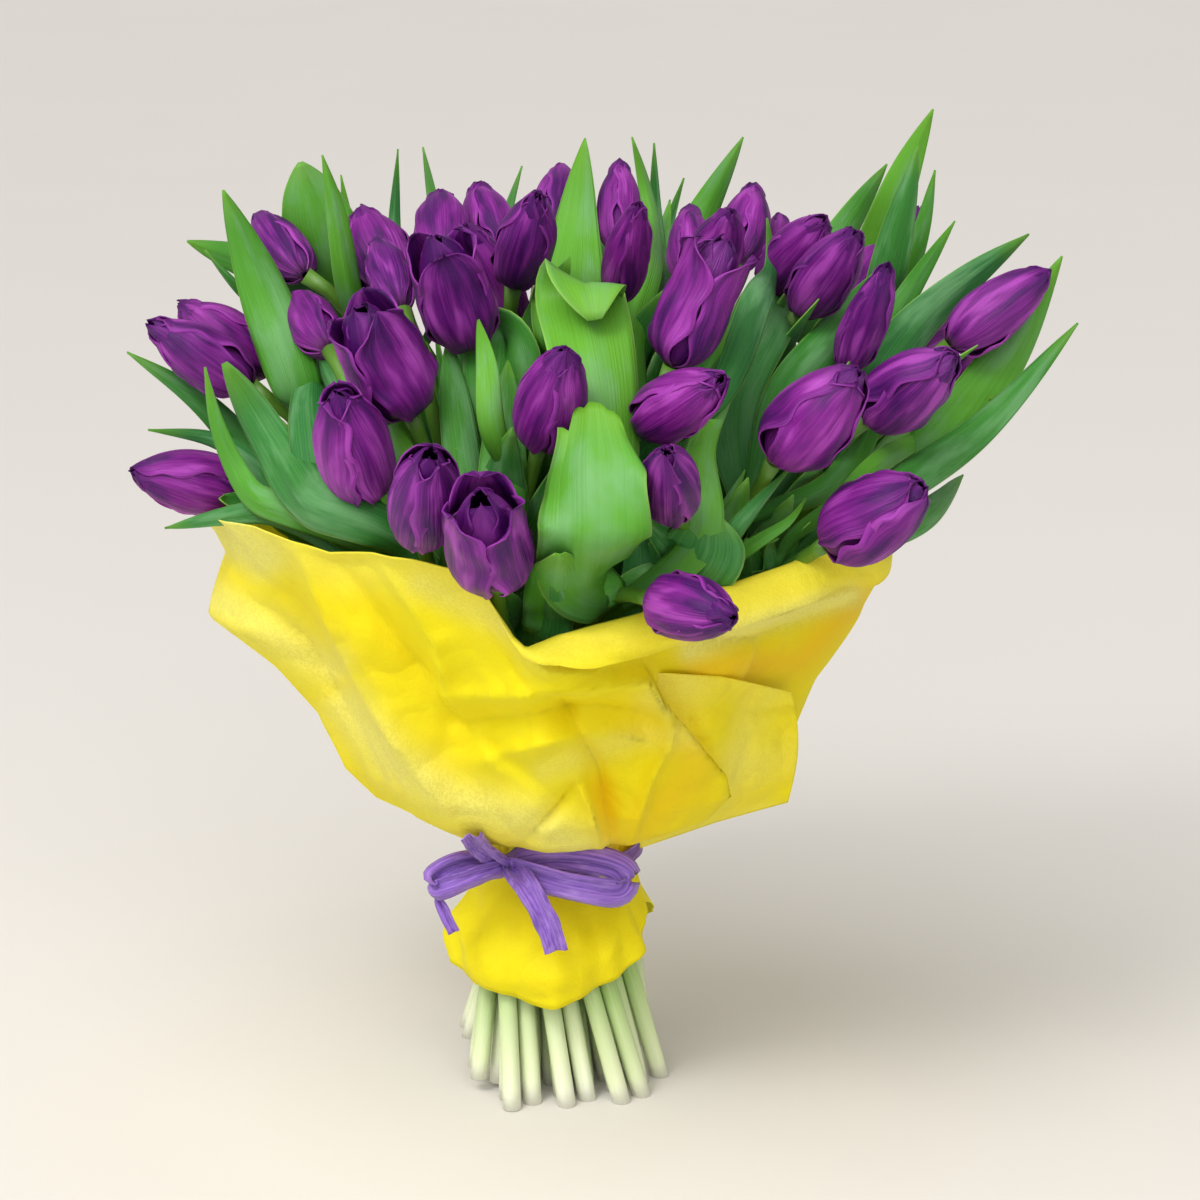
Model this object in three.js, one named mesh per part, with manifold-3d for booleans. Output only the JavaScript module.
// A hand-tied bunch of purple tulips in a sheet of yellow fibre wrap, tied with violet raffia.
// Millimetres, +Z up, front towards -Y. The bunch stands on its splayed cut stems.
import * as THREE from "three";
import { mergeVertices } from "three/addons/utils/BufferGeometryUtils.js";
import Module from "manifold-3d";

const wasm = await Module();
wasm.setup();

// Driving dimensions, in millimetres.
const HEAD_LENGTH = 62;
const STEM_RADIUS = 4.8;
const TUFT_RADIUS = 4.3; // from a tuft's middle to each of its three stems
const TUFT_SPACING = 9; // between stems of the packed bunch, before tufts close up
const TUFT_COUNT = 14;
const TIE_HEIGHT = 124;
const FOOT_SPREAD = 1.8; // how much wider the cut ends stand than the tied waist
const FOOT_TWIST = THREE.MathUtils.degToRad(40);
const FOOT_LIFT = 14; // the left-hand stems are cut this much shorter
const WRAP_THICKNESS = 1.2;
const RAFFIA_WIDTH = 11;
const RAFFIA_THICKNESS = 1.3;
const GAP = 0.3;
const NECK_HALF = 10; // half the height of the wrap's straight neck
const BLADE_THICKNESS = 2;

// The view in which the bunch was measured: a far eye, 15 degrees above level.
const PICTURE_MIDDLE = 600;
const PIXELS_PER_RADIAN = 3800;
const EYE_DISTANCE = 1900;
const VIEW_PITCH = THREE.MathUtils.degToRad(15);
const AIM = new THREE.Vector3(22, 0, 252);
const LOOK = new THREE.Vector3(0, Math.cos(VIEW_PITCH), -Math.sin(VIEW_PITCH));
const LIFT = new THREE.Vector3(0, Math.sin(VIEW_PITCH), Math.cos(VIEW_PITCH));
const EYE = AIM.clone().addScaledVector(LOOK, -EYE_DISTANCE);

// The rounded top of the bunch, through the middles of the heads.
const DOME_MIDDLE = new THREE.Vector3(22, 0, 262);
const DOME_REACH = new THREE.Vector3(200, 190, 195);

// Heads: picture point of the base, of the tip, width in picture points, shift towards the viewer
// in millimetres, openness.
const HEADS = [
  [243, 490, 126, 472, 65, 0, 0.3],
  [250, 385, 145, 320, 60, 12, 0.2],
  [272, 372, 170, 298, 60, -25, 0.2],
  [305, 275, 255, 213, 50, -20, 0.2],
  [330, 350, 293, 292, 50, -35, 0.2],
  [400, 300, 357, 202, 66, -5, 0.3],
  [402, 310, 375, 235, 44, -45, 0.1],
  [445, 272, 440, 190, 60, -25, 0.3],
  [500, 260, 475, 180, 55, -60, 0.2],
  [470, 345, 435, 232, 80, 5, 0.8],
  [508, 330, 463, 222, 66, -35, 0.3],
  [410, 412, 355, 303, 88, 15, 0.8],
  [368, 495, 336, 387, 80, 10, 0.5],
  [421, 538, 430, 450, 78, 10, 0.5],
  [495, 578, 480, 495, 90, 10, 0.8],
  [514, 282, 541, 190, 58, -10, 0.2],
  [552, 240, 562, 165, 50, -60, 0.3],
  [618, 250, 620, 157, 44, -45, 0.1],
  [618, 300, 640, 197, 46, -20, 0.1],
  [672, 365, 728, 235, 74, 15, 0.9],
  [540, 443, 567, 345, 74, 10, 0.4],
  [640, 425, 729, 374, 65, 10, 0.4],
  [672, 512, 665, 449, 63, 8, 0.4],
  [690, 280, 690, 205, 46, -75, 0.1],
  [700, 285, 735, 203, 54, -35, 0.3],
  [735, 265, 756, 182, 50, -80, 0.2],
  [778, 300, 780, 212, 44, -110, 0.1],
  [770, 285, 828, 214, 58, -15, 0.3],
  [800, 310, 858, 229, 60, 2, 0.4],
  [845, 370, 890, 262, 46, 4, 0.1],
  [850, 300, 885, 245, 44, -60, 0.2],
  [880, 300, 920, 205, 44, -100, 0.1],
  [950, 345, 1052, 268, 60, 0, 0.3],
  [895, 352, 975, 325, 44, -35, 0.2],
  [955, 385, 1030, 338, 46, -70, 0.2],
  [775, 460, 860, 368, 82, 12, 0.5],
  [868, 418, 958, 354, 72, 5, 0.4],
  [828, 543, 928, 484, 82, 8, 0.5],
  [655, 601, 736, 618, 68, 0, 0.3],
];
const RIM_HEAD = 38; // this head hangs out over the front of the wrap
const RIM_HEAD_FRONT = 196;
// Heads on the far side: bearing in degrees from the front, height of the middle.
const FAR_HEADS = [[158, 398], [188, 384], [218, 408]];
const FAR_WIDTH = 62;

// Leaves: width in picture points, shift towards the viewer, then picture points from low to tip.
const LEAVES = [
  [45, 0, 370, 305, 280, 270, 187, 241],
  [50, -8, 300, 400, 262, 290, 223, 190],
  [64, 5, 345, 330, 322, 240, 300, 162],
  [24, -30, 352, 300, 335, 205, 322, 155],
  [20, -50, 366, 300, 350, 230, 341, 175],
  [14, -22, 300, 345, 240, 290, 205, 250],
  [36, 0, 290, 520, 255, 460, 200, 400, 127, 352],
  [26, -14, 300, 520, 220, 440, 148, 430],
  [30, 14, 300, 540, 240, 480, 215, 420, 205, 367],
  [50, 4, 345, 550, 262, 430, 224, 363],
  [24, 8, 310, 550, 270, 514, 165, 528],
  [44, -10, 335, 520, 312, 430, 312, 360],
  [18, -60, 405, 330, 394, 240, 398, 149],
  [18, -75, 450, 290, 436, 220, 423, 147],
  [34, 4, 470, 500, 455, 400, 448, 335],
  [22, -8, 492, 430, 487, 370, 478, 318],
  [60, -22, 497, 470, 497, 390, 502, 330],
  [18, -70, 490, 290, 505, 220, 522, 166],
  [18, -28, 512, 330, 500, 280, 492, 230],
  [64, -38, 568, 330, 575, 230, 585, 138],
  [66, -14, 612, 470, 606, 380, 592, 290, 540, 276],
  [20, -50, 612, 340, 605, 270, 601, 210],
  [28, -34, 628, 340, 650, 262, 650, 205, 632, 137],
  [18, -64, 668, 310, 656, 220, 654, 143],
  [20, -52, 655, 320, 660, 255, 670, 200],
  [20, -88, 660, 300, 667, 230, 684, 178],
  [40, -56, 668, 310, 692, 235, 743, 137],
  [16, -95, 742, 270, 757, 220, 749, 182],
  [30, -6, 715, 400, 758, 300, 772, 262, 767, 218],
  [34, 0, 700, 540, 700, 450, 733, 393],
  [56, -10, 730, 410, 765, 320, 795, 282, 832, 260],
  [84, -2, 596, 600, 592, 500, 590, 405],
  [42, 0, 502, 520, 503, 440, 508, 360],
  [22, 10, 545, 585, 552, 530, 563, 493],
  [58, 14, 558, 680, 558, 610, 560, 558],
  [62, 12, 636, 690, 635, 590, 634, 500],
  [72, 2, 696, 640, 700, 570, 706, 510],
  [28, 4, 640, 640, 700, 592, 763, 596],
  [40, -16, 785, 400, 835, 335, 882, 267],
  [48, -90, 862, 310, 895, 200, 933, 109],
  [38, -75, 805, 310, 848, 225, 887, 164],
  [36, -70, 880, 300, 902, 215, 918, 146],
  [20, -48, 895, 300, 922, 230, 935, 170],
  [26, -22, 860, 380, 898, 310, 955, 221],
  [42, -20, 865, 400, 930, 312, 1029, 234],
  [52, -10, 920, 460, 1005, 358, 1062, 256],
  [34, 6, 910, 480, 990, 420, 1078, 323],
  [20, 6, 860, 480, 940, 428, 994, 395],
  [16, 4, 865, 400, 905, 360, 966, 330],
  [30, 2, 870, 560, 920, 520, 963, 475],
  [28, 2, 840, 480, 870, 420, 887, 365],
  [20, 6, 700, 620, 745, 520, 790, 468],
  [18, 8, 730, 610, 775, 545, 806, 498],
  [24, 4, 690, 590, 722, 520, 745, 470],
  [26, -6, 430, 500, 392, 430, 400, 372],
];
// Leaves on the far side: bearing in degrees, height of the tip, distance of the tip from the middle.
const FAR_LEAVES = [
  [118, 330, 205], [132, 262, 176], [146, 372, 168], [160, 300, 190], [172, 405, 118],
  [180, 262, 172], [194, 322, 186], [204, 420, 104], [216, 276, 182], [230, 352, 176],
  [244, 300, 196],
];
const FAR_LEAF_WIDTH = 46;

// Wrap: height and radius from the tie up to the rim, and from the tie down to the hem.
const CUFF = [
  [TIE_HEIGHT + NECK_HALF, 0], [141, 0.22], [151, 0.4], [165, 0.52],
  [186, 0.6], [212, 0.68], [242, 0.85], [272, 1],
];
const CUFF_BEARINGS = 30;
const SKIRT_STEPS = 3;

const PURPLE = new THREE.Color("#5a1270");
const LEAF_GREEN = new THREE.Color("#4d8f3a");
const WRAP_YELLOW = new THREE.Color("#e9d23a");
const RAFFIA_VIOLET = new THREE.Color("#8158b8");

const radians = THREE.MathUtils.degToRad;
const mix = THREE.MathUtils.lerp;
const { smoothstep } = THREE.MathUtils;
const LEAST_ADVANCE = 0.15; // of a stretch's length, by each of its corners

// ---------- the measuring view ----------

function sightline(u, v) {
  const right = (u - PICTURE_MIDDLE) / PIXELS_PER_RADIAN;
  const up = (PICTURE_MIDDLE - v) / PIXELS_PER_RADIAN;
  return LOOK.clone().addScaledVector(LIFT, up).add(new THREE.Vector3(right, 0, 0));
}

// The point seen at picture point u, v that lies `front` in front of the bunch's axis.
function spot(u, v, front) {
  const ray = sightline(u, v);
  return EYE.clone().addScaledVector(ray, (-front - EYE.y) / ray.y);
}

function pictureOf(point) {
  const seen = point.clone().sub(EYE);
  const depth = seen.dot(LOOK);
  return [PICTURE_MIDDLE + (PIXELS_PER_RADIAN * seen.x) / depth,
    PICTURE_MIDDLE - (PIXELS_PER_RADIAN * seen.dot(LIFT)) / depth];
}

// How far in front of the axis a picture point meets the dome, or passes it nearest.
function domeFront(u, v, size) {
  const reach = DOME_REACH.clone().multiplyScalar(size);
  const ray = sightline(u, v);
  const from = EYE.clone().sub(DOME_MIDDLE).divide(reach);
  const way = ray.clone().divide(reach);
  const a = way.dot(way);
  const b = from.dot(way);
  const root = Math.sqrt(Math.max(b * b - a * (from.dot(from) - 1), 0));
  return -(EYE.y + (ray.y * (-b - root)) / a);
}

const millimetresPerPixel = (front) => (EYE_DISTANCE - front) / PIXELS_PER_RADIAN;

// ---------- heads ----------

function seenHead([baseU, baseV, tipU, tipV, width, shift, open], index) {
  const [u, v] = [(baseU + tipU) / 2, (baseV + tipV) / 2];
  const front = index === RIM_HEAD ? RIM_HEAD_FRONT : domeFront(u, v, 1) + shift;
  const scale = millimetresPerPixel(front);
  const across = Math.hypot(tipU - baseU, tipV - baseV) * scale;
  const lean = Math.sqrt(Math.max(HEAD_LENGTH ** 2 - across ** 2, 0)) * (front < 0 ? -0.5 : 0.5);
  const ends = [[baseU, baseV, front - lean], [tipU, tipV, front + lean]];
  return { ends, radius: (width * scale) / 2, open };
}

function farHead([bearing, height]) {
  const away = Math.sqrt(1 - ((height - DOME_MIDDLE.z) / DOME_REACH.z) ** 2);
  const turn = radians(bearing);
  const out = new THREE.Vector3(Math.sin(turn), -Math.cos(turn), 0).multiplyScalar(away);
  const middle = DOME_MIDDLE.clone().add(out.multiply(DOME_REACH)).setZ(height);
  const axis = middle.clone().sub(new THREE.Vector3(0, 0, TIE_HEIGHT)).normalize();
  const ends = [-0.5, 0.5].map((share) => {
    const end = middle.clone().addScaledVector(axis, share * HEAD_LENGTH);
    return [...pictureOf(end), -end.y];
  });
  return { ends, radius: FAR_WIDTH / 4, open: 0.3 };
}

// ---------- parting the heads ----------

// Four balls along a head stand for its body.
const HEAD_BALLS = [[0.12, 0.62], [0.36, 1], [0.62, 1], [0.86, 0.8]];
const PARTING_ROUNDS = 80;

function ballsOf(head) {
  return HEAD_BALLS.map(([along, girth]) => {
    const [u, v, front] = [0, 1, 2].map((i) => mix(head.ends[0][i], head.ends[1][i], along));
    const radius = head.radius * girth + GAP * 2;
    return { u, v, front, radius, wide: radius / millimetresPerPixel(front) };
  });
}

// How far in front of the balls of `other` those of `one` must come, less how far they are.
function shortfall(one, other, side) {
  let most = 0;
  for (const a of ballsOf(one)) {
    for (const b of ballsOf(other)) {
      const share = Math.hypot(a.u - b.u, a.v - b.v) / (a.wide + b.wide);
      if (share >= 1) continue;
      const wanted = (a.radius + b.radius) * Math.sqrt(1 - share ** 2);
      most = Math.max(most, wanted - side * (a.front - b.front));
    }
  }
  return most;
}

// Moves heads nearer or further along their sightlines until those that cover each other pass clear.
function partHeads(heads) {
  const depth = (head) => head.ends[0][2] + head.ends[1][2];
  const sides = heads.map((one) => heads.map((other) => (depth(one) >= depth(other) ? 1 : -1)));
  for (let round = 0; round < PARTING_ROUNDS; round += 1) {
    for (let i = 0; i < heads.length; i += 1) {
      for (let j = i + 1; j < heads.length; j += 1) {
        const lack = shortfall(heads[i], heads[j], sides[i][j]) * sides[i][j] * 0.5;
        heads[i].ends.forEach((end) => { end[2] += i === RIM_HEAD ? 0 : lack; });
        heads[j].ends.forEach((end) => { end[2] -= j === RIM_HEAD ? 0 : lack; });
      }
    }
  }
}

// ---------- the packed waist and the stems ----------

const WAIST_REACH = 38; // how far out the outermost stems are wanted at the waist
const OUTER_SLOPE = 1.05; // the slope, in radians, from which a head counts as outermost

// Stems stand in touching threes on a lattice, the fourteen threes nearest the middle.
function tuftMiddles() {
  const across = TUFT_SPACING * 1.5;
  const up = TUFT_SPACING * Math.sqrt(3);
  const middles = [];
  for (let i = -4; i <= 4; i += 1) {
    for (let j = -4; j <= 4; j += 1) {
      middles.push(new THREE.Vector2(i * across + 3, (j + (i % 2 ? 0.5 : 0)) * up + 4));
    }
  }
  return middles.sort((a, b) => a.length() - b.length()).slice(0, TUFT_COUNT);
}

function waistPlaces() {
  return tuftMiddles().flatMap((middle, tuft) => [90, 210, 330].map((bearing) => {
    const turn = radians(bearing);
    const out = new THREE.Vector2(Math.cos(turn), Math.sin(turn)).multiplyScalar(TUFT_RADIUS);
    return { at: out.add(middle), tuft };
  }));
}

// Gives each head the waist place that suits its direction, by swapping while a swap shortens the sum.
function matchHeads(bases, places) {
  const wanted = bases.map((base) => {
    const out = new THREE.Vector2(base.x, base.y);
    const slope = Math.atan2(out.length(), base.z - TIE_HEIGHT);
    return out.normalize().multiplyScalar(WAIST_REACH * Math.min(slope / OUTER_SLOPE, 1));
  });
  const given = bases.map((_, i) => i);
  const cost = (head, placed) => wanted[head].distanceToSquared(places[placed].at);
  for (let swapped = true; swapped;) {
    swapped = false;
    for (let a = 0; a < given.length; a += 1) {
      for (let b = a + 1; b < given.length; b += 1) {
        const now = cost(a, given[a]) + cost(b, given[b]);
        if (cost(a, given[b]) + cost(b, given[a]) < now - 1e-6) {
          [given[a], given[b]] = [given[b], given[a]];
          swapped = true;
        }
      }
    }
  }
  return given;
}

// A stem from the waist up to its head, leaving the waist steeply and arriving along the head's axis.
function stemCurve(head, { leave, arrive, swing, sag }) {
  const low = new THREE.Vector3(head.waist.x, head.waist.y, TIE_HEIGHT);
  const rise = head.base.distanceTo(low);
  const out = new THREE.Vector3(head.waist.x * 1.1, head.waist.y * 1.1, 46).normalize();
  const end = head.base.clone().addScaledVector(head.axis, -1.3 * GAP);
  const sideways = new THREE.Vector3(-head.base.y, head.base.x, 0).setLength(swing);
  sideways.z = sag;
  const first = low.clone().addScaledVector(out, rise * leave).add(sideways);
  const last = end.clone().addScaledVector(head.axis, -rise * arrive).add(sideways);
  return new THREE.CubicBezierCurve3(low, first, last, end);
}

// ---------- leaves ----------

const LEAF_STATIONS = 7;

function leafPoints([, shift, ...numbers]) {
  const points = [];
  for (let i = 0; i < numbers.length; i += 2) {
    const [u, v] = [numbers[i], numbers[i + 1]];
    points.push([u, v, domeFront(u, v, 0.9) + shift]);
  }
  return points;
}

function farLeafPoints([bearing, height, away]) {
  const turn = radians(bearing);
  return [[0.5, 0.52], [0.78, 0.8], [1, 1]].map(([out, up]) => {
    const point = new THREE.Vector3(DOME_MIDDLE.x * 0.6 + Math.sin(turn) * away * out,
      -Math.cos(turn) * away * out, mix(TIE_HEIGHT, height, up));
    return [...pictureOf(point), -point.y];
  });
}

// Roots a leaf on the stem that passes nearest under its lowest point, three leaves to a stem at most.
function rootLeaf(points, curves, load) {
  const low = tuck(spot(...points[0]));
  let best = null;
  curves.forEach((curve, index) => {
    if (load[index] > 2) return;
    const path = curve.getPoints(STEM_BENDS);
    for (let step = 4; step < 18; step += 1) {
      const along = (step + load[index] * 0.4) / 5;
      const bend = Math.floor(along);
      if (bend >= STEM_BENDS) return;
      const at = path[bend].clone().lerp(path[bend + 1], along - bend);
      const score = at.distanceTo(low) + Math.max(0, at.z - low.z + 25) * 2 + load[index] * 8;
      if (!best || score < best.score) best = { score, at, index };
    }
  });
  load[best.index] += 1;
  return best;
}

const widthAlong = (t) => Math.sin(Math.PI * Math.min(0.08 + t * 0.92, 1)) ** 0.75;

// The stations of a leaf whose points are moved `nearer` to the viewer.
function leafStations(root, points, nearer, width) {
  const line = points.map(([u, v, front]) => tuck(spot(u, v, front + nearer)));
  const curve = new THREE.CatmullRomCurve3([root, ...line], false, "centripetal");
  return [...Array(LEAF_STATIONS).keys()].map((i) => {
    const t = i / (LEAF_STATIONS - 1);
    return { point: curve.getPointAt(t), half: Math.max(width * 0.25 * widthAlong(t), 1.5) };
  });
}

// ---------- the wrap's form ----------

// Bearings run from the front, to the right-hand side at +90 degrees and round the back.
const near = (bearing, middle, spread) => {
  const off = Math.atan2(Math.sin(radians(bearing - middle)), Math.cos(radians(bearing - middle)));
  return Math.exp(-((THREE.MathUtils.radToDeg(off) / spread) ** 2));
};
const rimRadius = (bearing) => 157 + 8 * near(bearing, -92, 22) + 6 * near(bearing, 90, 26)
  - 5 * near(bearing, -5, 16) + 4 * Math.cos(radians(bearing * 5 + 20));
const rimHeight = (bearing) => 281 - 15 * near(bearing, -8, 12) + 5 * near(bearing, 80, 30)
  + 8 * near(bearing, -85, 22) + 52 * near(bearing, 165, 52) + 14 * near(bearing, -130, 30);
const hemHeight = (bearing) => 66 - 13 * near(bearing, -4, 30) + 30 * near(bearing, 78, 34)
  + 4 * Math.cos(radians(bearing * 3));
const waistRadius = () => Math.max(...waistPlaces().map(({ at }) => at.length())) + STEM_RADIUS;
const NECK = waistRadius() + 2 * GAP;

function cuffRadius(bearing, height) {
  const top = rimHeight(bearing);
  const share = (height - CUFF[0][0]) / (top - CUFF[0][0]);
  const shares = CUFF.map(([z]) => (z - CUFF[0][0]) / (CUFF.at(-1)[0] - CUFF[0][0]));
  const next = Math.min(Math.max(shares.findIndex((s) => s >= share), 1), CUFF.length - 1);
  const t = (share - shares[next - 1]) / (shares[next] - shares[next - 1]);
  const out = mix(CUFF[next - 1][1], CUFF[next][1], Math.min(Math.max(t, 0), 1));
  const loose = Math.sin(Math.PI * Math.min(Math.max(share, 0), 1)) ** 0.8;
  const pleat = 4.5 * Math.cos(radians(bearing * 9)) * loose;
  return mix(NECK, rimRadius(bearing), out) + (out > 0 ? pleat : 0);
}

const bearingOf = (point) => THREE.MathUtils.radToDeg(Math.atan2(point.x, -point.y));

// Draws a point straight in towards the axis where it lies outside the cuff.
function tuck(point, clear = 10) {
  const bearing = bearingOf(point);
  if (point.z > rimHeight(bearing) + 5) return point;
  const most = cuffRadius(bearing, Math.max(point.z, TIE_HEIGHT + 20)) - clear;
  const pull = Math.min(most / Math.hypot(point.x, point.y), 1);
  return new THREE.Vector3(point.x * pull, point.y * pull, Math.max(point.z, TIE_HEIGHT + 20));
}

// ---------- solids ----------

function geometrySolid(geometry) {
  const merged = mergeVertices(geometry, 1e-3);
  const corners = [];
  for (let i = 0; i < merged.index.count; i += 3) {
    const [a, b, c] = [0, 1, 2].map((k) => merged.index.getX(i + k));
    if (a !== b && b !== c && c !== a) corners.push(a, b, c);
  }
  return new wasm.Manifold(new wasm.Mesh({ numProp: 3, vertProperties: merged.attributes.position.array,
    triVerts: Uint32Array.from(corners) }));
}

function solidOf(positions, triangles) {
  const geometry = new THREE.BufferGeometry();
  const numbers = positions.flatMap((point) => point.toArray());
  geometry.setAttribute("position", new THREE.Float32BufferAttribute(numbers, 3));
  geometry.setIndex(triangles.flat());
  return geometrySolid(geometry);
}

function geometryOf(solid) {
  const { vertProperties, triVerts } = solid.getMesh();
  const geometry = new THREE.BufferGeometry();
  geometry.setAttribute("position", new THREE.BufferAttribute(vertProperties, 3));
  geometry.setIndex(new THREE.BufferAttribute(triVerts, 1));
  return geometry;
}

// A body along a row of rings of equal count, or null where it would fold. A side is cut from its
// first corner, or from its second where `turned` says so: the two faces of a thin twisted body
// must be cut alike, or they would pass through each other.
function ringsSolid(rings, { capped = true, turned = () => false } = {}) {
  if (folds(rings)) return null;
  const sides = rings[0].length;
  const last = (rings.length - 1) * sides;
  const triangles = [];
  for (let k = 0; k + 1 < rings.length; k += 1) {
    for (let i = 0; i < sides; i += 1) {
      const [a, b] = [k * sides + i, k * sides + ((i + 1) % sides)];
      if (turned(i)) triangles.push([a, b, a + sides], [b, b + sides, a + sides]);
      else triangles.push([a, b, b + sides], [a, b + sides, a + sides]);
    }
  }
  for (let i = 1; capped && i + 1 < sides; i += 1) {
    triangles.push([0, i + 1, i], [last, last + i, last + i + 1]);
  }
  return solidOf(rings.flat(), triangles);
}

// Whether a corner of a ring falls back behind the same corner of the ring before it.
function folds(rings) {
  const middles = rings.map((ring) => (
    ring.reduce((sum, corner) => sum.add(corner), new THREE.Vector3()).divideScalar(ring.length)));
  return rings.slice(1).some((ring, k) => {
    const way = middles[k + 1].clone().sub(middles[k]);
    return ring.some((corner, i) => (
      corner.clone().sub(rings[k][i]).dot(way) < LEAST_ADVANCE * way.lengthSq()));
  });
}

// ---------- a head: petals in two layers of three ----------

// Columns of one third of a head: bearing, share of the radius, share of the height at the rim.
const PETAL_COLUMNS = [[-46, 0.98, 0.78], [0, 1.07, 1], [46, 0.98, 0.78], [60, 0.84, 0.94]];
const HEAD_RINGS = [[0, 0.3], [0.14, 0.74], [0.45, 1], [0.8, 0.93]];
const GOLDEN_ANGLE = radians(137.508);

function headSolid(head, index, grow) {
  const [side, across] = acrossTo(head.axis);
  const length = head.tip.distanceTo(head.base);
  const spread = 0.42 + 0.62 * head.open;
  const columns = [0, 120, 240].flatMap((third) => PETAL_COLUMNS.map(([bearing, girth, height]) => ({
    turn: radians(third + bearing) + index * GOLDEN_ANGLE,
    girth: girth - 0.04,
    height: height + 0.05 * Math.sin(index * 2 + third),
  })));
  const point = (turn, radius, along) => head.base.clone()
    .addScaledVector(head.axis, along)
    .addScaledVector(side, Math.cos(turn) * radius)
    .addScaledVector(across, Math.sin(turn) * radius);
  const ring = (along, girth) => columns.map((column) => point(column.turn,
    head.radius * girth * (along ? column.girth : 1) + grow,
    along * length * Math.min(column.height + 0.12, 1) - (along ? 0 : grow)));
  const rings = HEAD_RINGS.map(([along, girth]) => ring(along, girth));
  rings.push(columns.map((column) => point(column.turn, head.radius * spread * column.girth + grow,
    length * Math.min(column.height, 1) + grow)));
  const positions = rings.flat();
  const sides = columns.length;
  const triangles = [];
  for (let k = 0; k + 1 < rings.length; k += 1) {
    for (let i = 0; i < sides; i += 1) {
      const [a, b] = [k * sides + i, k * sides + ((i + 1) % sides)];
      triangles.push([a, b, b + sides], [a, b + sides, a + sides]);
    }
  }
  const last = (rings.length - 1) * sides;
  positions.push(point(0, 0, length * (grow ? 1 : 0.8 - 0.22 * head.open) + grow));
  for (let i = 0; i < sides; i += 1) {
    triangles.push([last + i, last + ((i + 1) % sides), positions.length - 1]);
    if (i && i + 1 < sides) triangles.push([0, i + 1, i]);
  }
  return solidOf(positions, triangles);
}

function acrossTo(axis) {
  const lead = Math.abs(axis.z) > 0.8 ? new THREE.Vector3(1, 0, 0) : new THREE.Vector3(0, 0, 1);
  const side = lead.addScaledVector(axis, -lead.dot(axis)).normalize();
  return [side, axis.clone().cross(side)];
}

// ---------- stems and leaves ----------

const STEM_SIDES = 6;
const STEM_BENDS = 4;

function footOf(waist) {
  const turned = waist.clone().rotateAround(new THREE.Vector2(), FOOT_TWIST).multiplyScalar(FOOT_SPREAD);
  const left = smoothstep(-turned.x, 18, 60);
  return new THREE.Vector3(turned.x, turned.y, FOOT_LIFT * left);
}

function stemSolid(curve, head) {
  const foot = footOf(head.waist);
  const ground = new THREE.Vector3(foot.x, foot.y, 0);
  const waist = new THREE.Vector3(head.waist.x, head.waist.y, TIE_HEIGHT);
  const path = [ground.lerp(waist, foot.z / TIE_HEIGHT), ...curve.getPoints(STEM_BENDS)];
  let side = new THREE.Vector3(1, 0, 0);
  const rings = path.map((point, k) => {
    const ahead = path[Math.min(k + 1, path.length - 1)].clone().sub(path[Math.max(k - 1, 0)]).normalize();
    const way = [new THREE.Vector3(0, 0, 1), ahead, head.axis][(k > 0) + (k === path.length - 1)];
    side = side.clone().addScaledVector(way, -side.dot(way)).normalize();
    const across = way.clone().cross(side);
    return [...Array(STEM_SIDES).keys()].map((i) => {
      const turn = (i / STEM_SIDES) * 2 * Math.PI;
      return point.clone().addScaledVector(side, Math.cos(turn) * STEM_RADIUS)
        .addScaledVector(across, Math.sin(turn) * STEM_RADIUS);
    });
  });
  return ringsSolid(rings);
}

// A folded blade, thick at its midrib and thin at its waved edges.
function leafSolid(stations, index) {
  let across = null;
  const rings = stations.slice(0, -1).map(({ point, half }, k) => {
    const way = stations[k + 1].point.clone().sub(stations[Math.max(k - 1, 0)].point).normalize();
    const seen = way.clone().cross(LOOK);
    across = across ? across.clone().addScaledVector(seen, Math.sign(seen.dot(across))) : seen;
    across.addScaledVector(way, -across.dot(way)).normalize();
    const facing = across.clone().cross(way);
    const wave = (k % 2 ? 0.16 : -0.1) * (index % 2 ? 1 : -1);
    const edge = (side, lift) => point.clone().addScaledVector(across, side * half)
      .addScaledVector(facing, half * lift);
    const thick = BLADE_THICKNESS / 2 + (k === 0 ? 0.6 : 0);
    return [point.clone().addScaledVector(facing, -thick), edge(-1, 0.3 + wave),
      point.clone().addScaledVector(facing, thick), edge(1, 0.3 - wave)];
  });
  const tip = stations.at(-1).point;
  return ringsSolid([...rings, rings[0].map(() => tip)], { turned: (side) => side % 2 === 1 });
}

// ---------- wrap ----------

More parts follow.
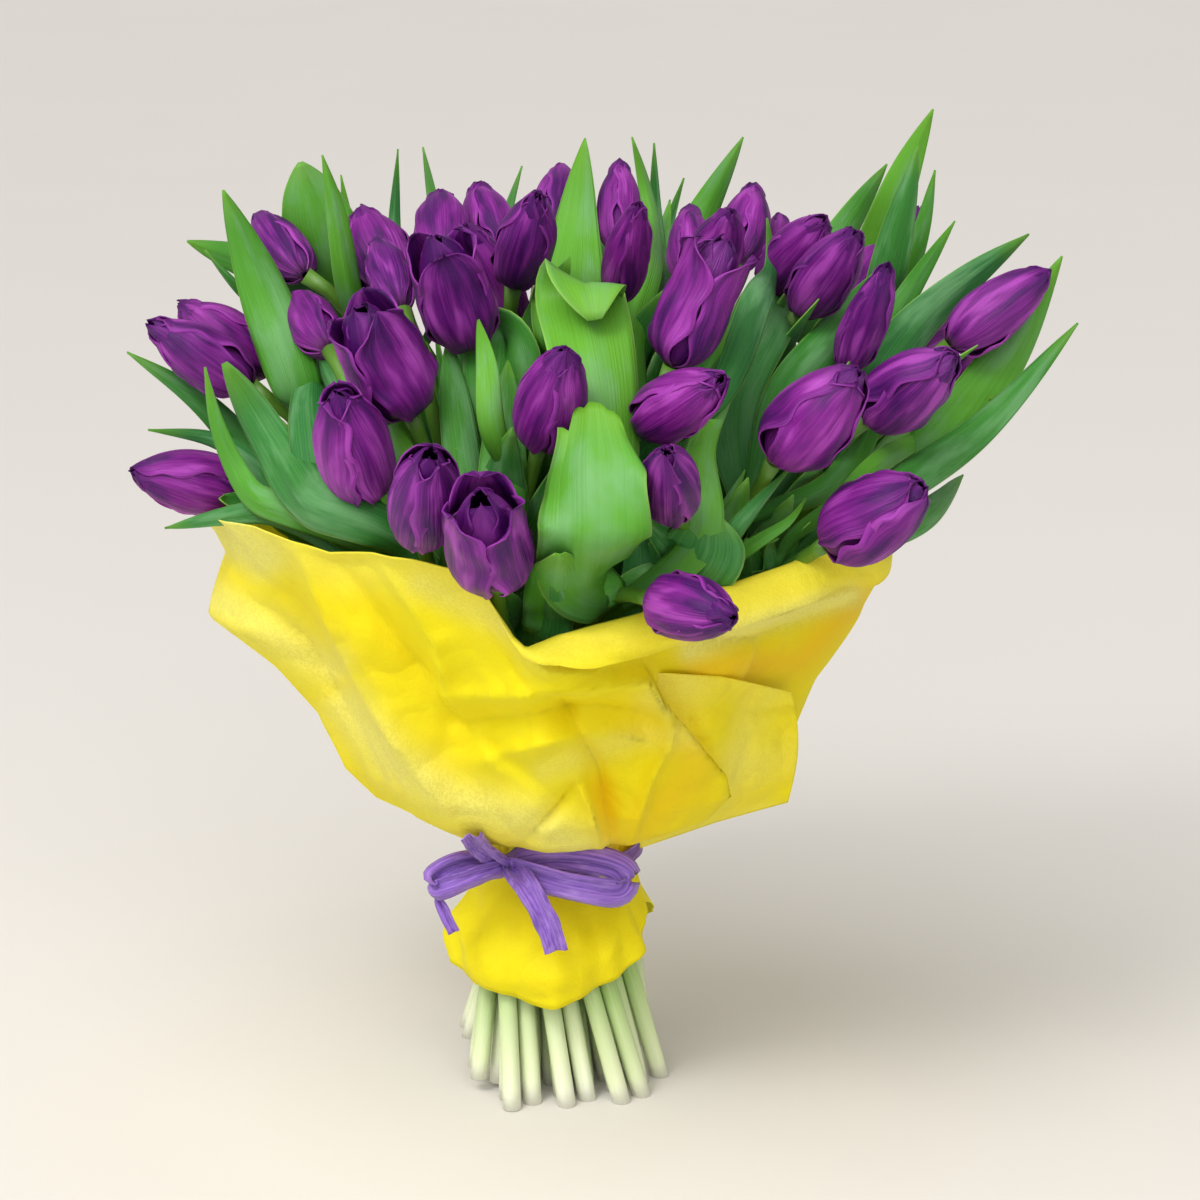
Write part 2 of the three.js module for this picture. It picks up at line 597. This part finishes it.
function wrapSolid(inset, thickness) {
  const profile = (bearing) => {
    const low = hemHeight(bearing);
    const skirt = [...Array(SKIRT_STEPS).keys()].map((k) => {
      const share = 1 - k / SKIRT_STEPS;
      const height = mix(TIE_HEIGHT - NECK_HALF, low, share);
      const folds = 1.8 * Math.cos(radians(bearing * 8)) * share;
      return [NECK + (TIE_HEIGHT - NECK_HALF - height) * 0.34 + folds + 1.5 * share, height];
    });
    const neck = [[NECK, TIE_HEIGHT - NECK_HALF]];
    const top = rimHeight(bearing);
    const base = CUFF[0][0];
    const cuff = CUFF.map(([z]) => {
      const height = mix(base, top, (z - base) / (CUFF.at(-1)[0] - base));
      return [cuffRadius(bearing, height), height];
    });
    const roll = smoothstep(bearing, -20, 0) * (1 - smoothstep(bearing, 85, 105));
    const [rimR, rimZ] = cuff.at(-1);
    return [...skirt, ...neck, ...cuff, [rimR + 5 + 9 * roll, rimZ + 6 - 7 * roll]];
  };
  const columns = [...Array(CUFF_BEARINGS).keys()].map((i) => {
    const bearing = (i / CUFF_BEARINGS) * 360 - 180;
    const line = profile(bearing);
    const turn = radians(bearing);
    const at = ([radius, z]) => new THREE.Vector3(Math.sin(turn) * radius, -Math.cos(turn) * radius, z);
    const moved = (distance) => line.map(([radius, z], k) => {
      const [r0, z0] = line[Math.max(k - 1, 0)];
      const [r1, z1] = line[Math.min(k + 1, line.length - 1)];
      const span = Math.hypot(r1 - r0, z1 - z0);
      return at([radius + (distance * (z1 - z0)) / span, z - (distance * (r1 - r0)) / span]);
    });
    return [...moved(inset), ...moved(inset + thickness).reverse()];
  });
  const round = columns[0].length;
  const triangles = [];
  columns.forEach((_, i) => {
    const j = (i + 1) % columns.length;
    for (let k = 0; k < round; k += 1) {
      const [a, b] = [i * round + k, j * round + k];
      const [c, d] = [i * round + ((k + 1) % round), j * round + ((k + 1) % round)];
      // The inner and outer faces are cut the same way, so that they stay apart.
      if (k < round / 2) triangles.push([a, c, d], [a, d, b]);
      else triangles.push([a, c, b], [b, c, d]);
    }
  });
  return solidOf(columns.flat(), triangles);
}

// ---------- raffia ----------

const RAFFIA_RING = NECK + WRAP_THICKNESS + GAP;

// A flat ribbon along points. Its width stands along `stand`.
function ribbonSolid(points, width, stand) {
  const curve = new THREE.CatmullRomCurve3(points);
  const steps = points.length * 2;
  const rings = [...Array(steps + 1).keys()].map((i) => {
    const point = curve.getPointAt(i / steps);
    const way = curve.getTangentAt(i / steps);
    const wide = stand.clone().addScaledVector(way, -way.dot(stand)).normalize();
    const thin = way.clone().cross(wide);
    return [[-1, -1], [1, -1], [1, 1], [-1, 1]].map(([a, b]) => point.clone()
      .addScaledVector(wide, (a * width) / 2).addScaledVector(thin, (b * RAFFIA_THICKNESS) / 2));
  });
  return ringsSolid(rings, { turned: (side) => side === 2 });
}

const BAND_SIDES = 24;

// Picture points and distances in front of the axis.
const KNOT = [505, 868, 40];
const KNOT_REACH = [8, 5.4, 7];
const LOOPS = [
  [[502, 867, 44], [472, 868, 55], [442, 876, 58], [434, 886, 60]],
  [[503, 871, 46], [468, 885, 62], [446, 891, 60], [436, 885, 58]],
  [[508, 867, 44], [545, 870, 56], [596, 872, 62], [630, 886, 66]],
  [[507, 871, 46], [545, 884, 62], [588, 891, 70], [629, 889, 65]],
];
const TAILS = [
  [KNOT, [488, 866, 64], [474, 852, 86], [462, 836, 102]],
  [[508, 868, 42], [522, 890, 58], [536, 918, 66], [555, 951, 72]],
  [[500, 868, 42], [476, 888, 60], [444, 908, 62], [452, 938, 66]],
];

// The band round the waist, a little aslant.
function bandSolid() {
  const half = RAFFIA_WIDTH / 2;
  const outer = RAFFIA_RING + RAFFIA_THICKNESS;
  const section = [[RAFFIA_RING, -half], [outer, -half], [outer, half], [RAFFIA_RING, half]];
  const rings = [...Array(BAND_SIDES + 1).keys()].map((i) => {
    const turn = (-i / BAND_SIDES) * 2 * Math.PI;
    const middle = TIE_HEIGHT + 1.5 * Math.sin(turn + 0.6);
    return section.map(([radius, z]) => (
      new THREE.Vector3(Math.cos(turn) * radius, Math.sin(turn) * radius, middle + z)));
  });
  return ringsSolid(rings, { capped: false });
}

function knotSolid() {
  const knot = new THREE.SphereGeometry(1, 8, 6).scale(...KNOT_REACH);
  ["normal", "uv"].forEach((name) => knot.deleteAttribute(name));
  const middle = spot(...KNOT);
  knot.translate(middle.x, middle.y, middle.z);
  return geometrySolid(knot);
}

function raffiaSolid() {
  const up = new THREE.Vector3(0, 0, 1);
  const aslant = new THREE.Vector3(1, 0, 0.3);
  const ribbon = (points, width, stand) => (
    ribbonSolid(points.map((point) => spot(...point)), width, stand));
  return clump([
    bandSolid(),
    knotSolid(),
    ...LOOPS.map((loop) => ribbon(loop, RAFFIA_WIDTH * 0.9, up)),
    ...TAILS.map((tail) => ribbon(tail, RAFFIA_WIDTH * 0.6, aslant)),
  ], []);
}

// ---------- the bunch ----------

// The largest single body of a solid; scraps that a cut leaves loose are dropped.
function largest(solid) {
  return geometrySolid(geometryOf(solid)).decompose().sort((a, b) => b.volume() - a.volume())[0];
}

const SHARED_DECIMALS = 4; // corners that agree this far are one corner
const THINNEST_FACE = 0.01; // a face narrower than this has no sure direction

// Whether two sheets of a body's surface meet along an edge, where they graze each other.
function grazes(solid) {
  const { vertProperties: at, triVerts } = solid.getMesh();
  const corner = (i) => [0, 1, 2].map((k) => at[triVerts[i] * 3 + k].toFixed(SHARED_DECIMALS)).join();
  const edges = new Map();
  for (let i = 0; i < triVerts.length; i += 3) {
    [[0, 1], [1, 2], [2, 0]].forEach(([a, b]) => {
      const key = [corner(i + a), corner(i + b)].sort().join(";");
      edges.set(key, (edges.get(key) ?? 0) + 1);
    });
  }
  return [...edges.values()].some((count) => count !== 2);
}

// How many faces of a solid are too narrow to have a sure direction.
function slivers(solid) {
  const { vertProperties: at, triVerts } = solid.getMesh();
  const corner = (i) => new THREE.Vector3().fromArray(at, triVerts[i] * 3);
  let count = 0;
  for (let i = 0; i < triVerts.length; i += 3) {
    const face = new THREE.Triangle(corner(i), corner(i + 1), corner(i + 2));
    const longest = Math.max(face.a.distanceTo(face.b), face.b.distanceTo(face.c), face.c.distanceTo(face.a));
    if (2 * face.getArea() < THINNEST_FACE * longest) count += 1;
  }
  return count;
}

// Joins the pieces of a clump and cuts it clear. The pieces are moved by hundredths of a millimetre
// until no two of their surfaces graze and the fewest faces are slivers.
function clump(pieces, cutters) {
  let best = null;
  for (let nudge = 0; nudge < 12; nudge += 1) {
    const placed = pieces.map((piece, i) => piece.translate(0.011 * nudge * ((i % 3) - 1),
      0.013 * nudge * ((i % 2) * 2 - 1), 0.007 * nudge * ((i % 5) - 2)));
    const whole = cutClear(placed.reduce((sum, piece) => sum.add(piece)), cutters);
    for (const evened of [0.03, 0.06, 0.12]) {
      const body = largest(whole.simplify(evened));
      const thin = grazes(body) ? Infinity : slivers(body);
      if (thin < (best ? best.thin : Infinity)) best = { body, thin };
    }
    if (best && !best.thin) break;
  }
  return best.body;
}

function apart(one, other) {
  return [0, 1, 2].some((axis) => one.min[axis] > other.max[axis] || one.max[axis] < other.min[axis]);
}

const CLEAR = 0.001; // cubic millimetres
const WORTH_CUTTING = 0.05; // cubic millimetres

// How much of a solid lies in its neighbours, in cubic millimetres.
function crossing(solid, others) {
  const box = solid.boundingBox();
  return others.reduce((sum, other) => {
    if (apart(box, other.boundingBox())) return sum;
    const common = solid.intersect(other);
    const volume = common.volume();
    common.delete();
    return sum + volume;
  }, 0);
}

// Of several forms of a stem or leaf, the first that crosses nothing, or else the one that
// crosses least. `build` makes a form's solid.
function clearest(forms, build, others) {
  let best = null;
  for (const form of forms) {
    const solid = build(form);
    const crossed = solid ? crossing(solid, others) : Infinity;
    if (crossed < (best ? best.crossed : Infinity)) best = { form, solid, crossed };
    if (crossed < CLEAR) break;
  }
  return best;
}

function cutClear(solid, cutters) {
  return cutters.reduce((left, cutter) => (
    crossing(left, [cutter]) > WORTH_CUTTING ? left.subtract(cutter) : left), solid);
}

// Puts tufts whose leaves or stems still cross into one clump, as lists of tuft numbers.
function crossingTufts(solids) {
  const clumps = [];
  solids.forEach((solid, index) => {
    const met = clumps.filter((members) => crossing(solid, members.map((i) => solids[i])) > 0);
    met.forEach((members) => clumps.splice(clumps.indexOf(members), 1));
    clumps.push([index, ...met.flat()]);
  });
  return clumps;
}

function material(name, colour, roughness) {
  const made = new THREE.MeshStandardMaterial({ color: colour, roughness, metalness: 0 });
  made.name = name;
  return made;
}

const number = (index) => String(index + 1).padStart(2, "0");

const SWINGS = [0, 10, -10, 20, -20, 30, -30, 42, -42];
const SAGS = [0, 12, -12];
const BENDS = [[0.36, 0.3], [0.5, 0.2], [0.24, 0.4]];
const STEM_FORMS = SWINGS.flatMap((swing) => SAGS.flatMap((sag) => BENDS.map(([leave, arrive]) => (
  { leave, arrive, swing, sag }))));
const LEAF_MOVES = [
  0, -4, 4, -8, 8, -12, 12, -16, 16, -20, 20, -25, 25, -30, 30, -36, 36, -44, 44, -52, 52,
];

function growHeads() {
  const heads = [...HEADS.map(seenHead), ...FAR_HEADS.map(farHead)];
  partHeads(heads);
  heads.forEach((head) => {
    [head.base, head.tip] = head.ends.map((end) => spot(...end));
    head.axis = head.tip.clone().sub(head.base).normalize();
  });
  const places = waistPlaces();
  matchHeads(heads.map((head) => head.base), places).forEach((given, i) => {
    heads[i].waist = places[given].at;
    heads[i].tuft = places[given].tuft;
  });
  return heads;
}

// Adds each head's stem to its tuft. Returns the stems with their curves.
function growStems(heads, tufted, blocks) {
  return heads.map((head) => {
    const others = tufted.flatMap((members, i) => (i === head.tuft ? [] : members));
    const build = (form) => stemSolid(stemCurve(head, form), head);
    const { form, solid } = clearest(STEM_FORMS, build, [...blocks, ...others]);
    tufted[head.tuft].push(solid);
    return { curve: stemCurve(head, form), solid, tuft: head.tuft };
  });
}

// Adds each leaf to the tuft of the stem that it grows on.
function growLeaves(stems, tufted, blocks) {
  const curves = stems.map(({ curve }) => curve);
  const load = stems.map(() => 0);
  const rows = [...LEAVES.map((row) => [leafPoints(row), row[0]]),
    ...FAR_LEAVES.map((row) => [farLeafPoints(row), FAR_LEAF_WIDTH])];
  rows.forEach(([points, width], index) => {
    const root = rootLeaf(points, curves, load);
    const stem = stems[root.index];
    const others = tufted.flat().filter((piece) => piece !== stem.solid);
    const build = (nearer) => leafSolid(leafStations(root.at, points, nearer, width), index);
    const leaf = clearest(LEAF_MOVES, build, [...blocks, ...others]);
    if (leaf) tufted[stem.tuft].push(leaf.solid);
  });
}

function buildSolids() {
  const heads = growHeads();
  const wrapRoom = wrapSolid(-GAP, WRAP_THICKNESS + 2 * GAP);
  const blocks = [...heads.map((head, i) => headSolid(head, i, GAP)), wrapRoom];
  const tufted = [...Array(TUFT_COUNT)].map(() => []);
  growLeaves(growStems(heads, tufted, blocks), tufted, blocks);
  const tufts = tufted.map((pieces) => clump(pieces, blocks));
  const greens = crossingTufts(tufts)
    .map((members) => clump(members.flatMap((i) => tufted[i]), blocks));
  return [
    ...heads.map((head, i) => [`bloom_${number(i)}`, headSolid(head, i, 0), material("petal", PURPLE, 0.5)]),
    ...greens.map((solid, i) => [`leafy_stems_${number(i)}`, solid, material("leaf", LEAF_GREEN, 0.45)]),
    ["wrap", wrapSolid(0, WRAP_THICKNESS), material("wrap", WRAP_YELLOW, 0.7)],
    ["raffia_bow", raffiaSolid(), material("raffia", RAFFIA_VIOLET, 0.6)],
  ];
}

// The finished solids, moved so that the middle of the bunch's footprint is the origin.
function assemble(solids) {
  const boxes = solids.map(([, solid]) => solid.boundingBox());
  const middle = [0, 1].map((axis) => (Math.min(...boxes.map((box) => box.min[axis]))
    + Math.max(...boxes.map((box) => box.max[axis]))) / 2);
  const group = new THREE.Group();
  for (const [name, solid, look] of solids) {
    const mesh = new THREE.Mesh(geometryOf(solid), look);
    mesh.name = name;
    group.add(mesh);
  }
  group.position.set(-middle[0], -middle[1], 0);
  return group;
}

export default assemble(buildSolids());
